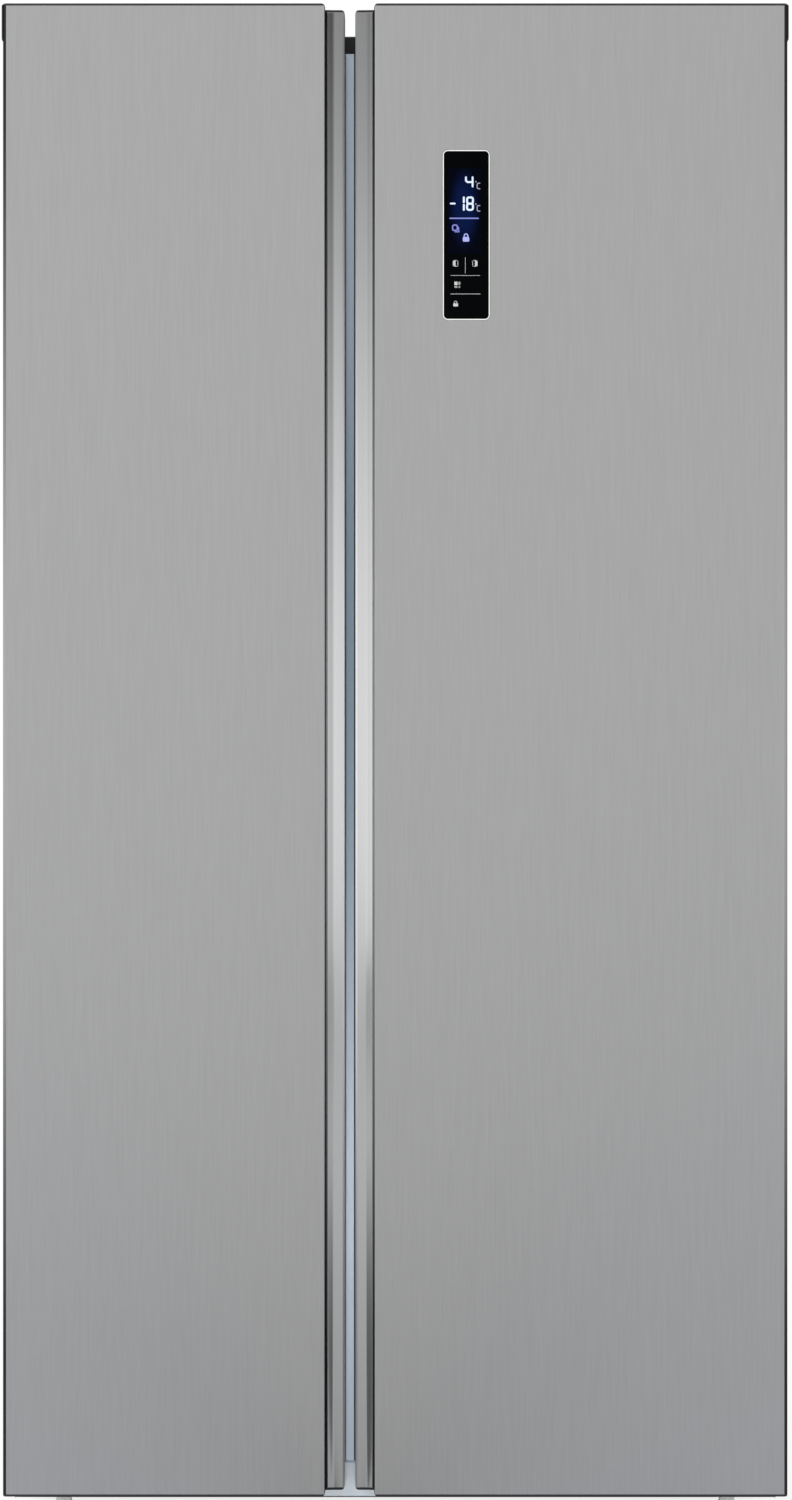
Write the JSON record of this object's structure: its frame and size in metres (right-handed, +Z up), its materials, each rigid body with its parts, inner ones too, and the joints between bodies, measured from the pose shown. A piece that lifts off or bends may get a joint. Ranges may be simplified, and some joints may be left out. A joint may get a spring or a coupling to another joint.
{
  "type": "side by side refrigerator",
  "caption": "Free-standing side by side refrigerator with a narrow freezer door, a wide fridge door, recessed full-height finger grooves, glass shelves, clear drawers and door bins.",
  "frame": {"origin": "on the floor, below the middle of the whole refrigerator", "axes": "+X to the right as seen from the front, +Y to the back, +Z up; the doors face -Y"},
  "size_m": [0.8974, 0.706, 1.765],
  "materials": {
    "painted_cabinet": "satin light blue-grey paint",
    "zinc_steel": "dull zinc plate",
    "black_plastic": "fine matt grain",
    "foam": "cut rigid foam",
    "black_enamel": "semi-gloss black",
    "coil_aluminium": "plain",
    "white_plastic": "glossy vacuum-formed sheet",
    "shelf_glass": "clear toughened glass with clear bumpers",
    "clear_plastic": "clear moulding",
    "brushed_steel": "fine vertical brush",
    "grip_metal": "smooth satin",
    "cap_plastic": "matt",
    "gasket_rubber": "matt",
    "panel_glass": "black gloss"
  },
  "bodies": {
    "cabinet": {"cabinet_shell": "painted_cabinet", "mullion_strip": "painted_cabinet", "top_trim": "black_plastic", "base_panel": "painted_cabinet", "back_panel": "zinc_steel", "base_pan": "zinc_steel", "cabinet_insulation": "foam", "compressor": "black_enamel", "condenser_coil": "black_enamel", "compressor_cover": "black_plastic", "evaporator": "coil_aluminium", "freezer_liner": "white_plastic", "freezer_duct_cover": "white_plastic", "freezer_shelf_1": "shelf_glass", "freezer_shelf_2": "shelf_glass", "freezer_shelf_3": "shelf_glass", "fridge_liner": "white_plastic", "fridge_duct_cover": "white_plastic", "fridge_drawer_lid": "shelf_glass", "fridge_shelf_1": "shelf_glass", "fridge_shelf_2": "shelf_glass", "fridge_shelf_3": "shelf_glass", "upper_hinge_left": "zinc_steel", "hinge_cover_left": "black_plastic", "lower_hinge_left": "zinc_steel", "upper_hinge_right": "zinc_steel", "hinge_cover_right": "black_plastic", "lower_hinge_right": "zinc_steel"},
    "freezer_door": {"freezer_door_skin": "brushed_steel", "freezer_door_grip": "grip_metal", "freezer_door_top_cap": "cap_plastic", "freezer_door_bottom_cap": "cap_plastic", "freezer_door_liner": "white_plastic", "freezer_door_foam": "foam", "freezer_door_gasket": "gasket_rubber", "freezer_door_bin_1": "clear_plastic", "freezer_door_bin_2": "clear_plastic", "freezer_door_bin_3": "clear_plastic"},
    "fridge_door": {"fridge_door_skin": "brushed_steel", "fridge_door_grip": "grip_metal", "fridge_door_top_cap": "cap_plastic", "fridge_door_bottom_cap": "cap_plastic", "fridge_door_liner": "white_plastic", "fridge_door_foam": "foam", "fridge_door_gasket": "gasket_rubber", "fridge_door_bin_1": "clear_plastic", "fridge_door_bin_2": "clear_plastic", "fridge_door_bin_3": "clear_plastic", "fridge_door_bin_4": "clear_plastic", "control_panel": "panel_glass"},
    "freezer_drawer_lower": {"freezer_drawer_lower": "clear_plastic"},
    "freezer_drawer_upper": {"freezer_drawer_upper": "clear_plastic"},
    "fridge_drawer_lower": {"fridge_drawer_lower": "clear_plastic"},
    "fridge_drawer_upper": {"fridge_drawer_upper": "clear_plastic"},
    "front_foot_left": {"front_foot_left": "black_plastic"},
    "front_foot_right": {"front_foot_right": "black_plastic"},
    "rear_roller_left": {"rear_roller_left": "black_plastic"},
    "rear_roller_right": {"rear_roller_right": "black_plastic"},
    "condenser_fan": {"condenser_fan": "black_plastic"},
    "evaporator_fan": {"evaporator_fan": "white_plastic"}
  },
  "joints": [
    {"name": "freezer_door_hinge", "type": "hinge", "parent": "cabinet", "child": "freezer_door", "pos_m": [-0.4255, -0.316, 0.9], "axis": [0, 0, -1], "range_deg": [0, 115]},
    {"name": "fridge_door_hinge", "type": "hinge", "parent": "cabinet", "child": "fridge_door", "pos_m": [0.4255, -0.316, 0.9], "axis": [0, 0, 1], "range_deg": [0, 115]},
    {"name": "freezer_drawer_lower_slide", "type": "slide", "parent": "cabinet", "child": "freezer_drawer_lower", "axis": [0, -1, 0], "range_m": [0, 0.08]},
    {"name": "freezer_drawer_upper_slide", "type": "slide", "parent": "cabinet", "child": "freezer_drawer_upper", "axis": [0, -1, 0], "range_m": [0, 0.08]},
    {"name": "fridge_drawer_lower_slide", "type": "slide", "parent": "cabinet", "child": "fridge_drawer_lower", "axis": [0, -1, 0], "range_m": [0, 0.08]},
    {"name": "fridge_drawer_upper_slide", "type": "slide", "parent": "cabinet", "child": "fridge_drawer_upper", "axis": [0, -1, 0], "range_m": [0, 0.08]},
    {"name": "front_foot_left_turn", "type": "hinge", "parent": "cabinet", "child": "front_foot_left", "pos_m": [-0.392, -0.228, 0.02], "axis": [0, 0, 1], "continuous": true},
    {"name": "front_foot_right_turn", "type": "hinge", "parent": "cabinet", "child": "front_foot_right", "pos_m": [0.392, -0.228, 0.02], "axis": [0, 0, 1], "continuous": true},
    {"name": "rear_roller_left_spin", "type": "hinge", "parent": "cabinet", "child": "rear_roller_left", "pos_m": [-0.385, 0.285, 0.019], "axis": [1, 0, 0], "continuous": true},
    {"name": "rear_roller_right_spin", "type": "hinge", "parent": "cabinet", "child": "rear_roller_right", "pos_m": [0.385, 0.285, 0.019], "axis": [1, 0, 0], "continuous": true},
    {"name": "condenser_fan_spin", "type": "hinge", "parent": "cabinet", "child": "condenser_fan", "pos_m": [0.026, 0.222, 0.15], "axis": [1, 0, 0], "continuous": true},
    {"name": "evaporator_fan_spin", "type": "hinge", "parent": "cabinet", "child": "evaporator_fan", "pos_m": [-0.24, 0.233, 0.775], "axis": [0, 1, 0], "continuous": true}
  ]
}
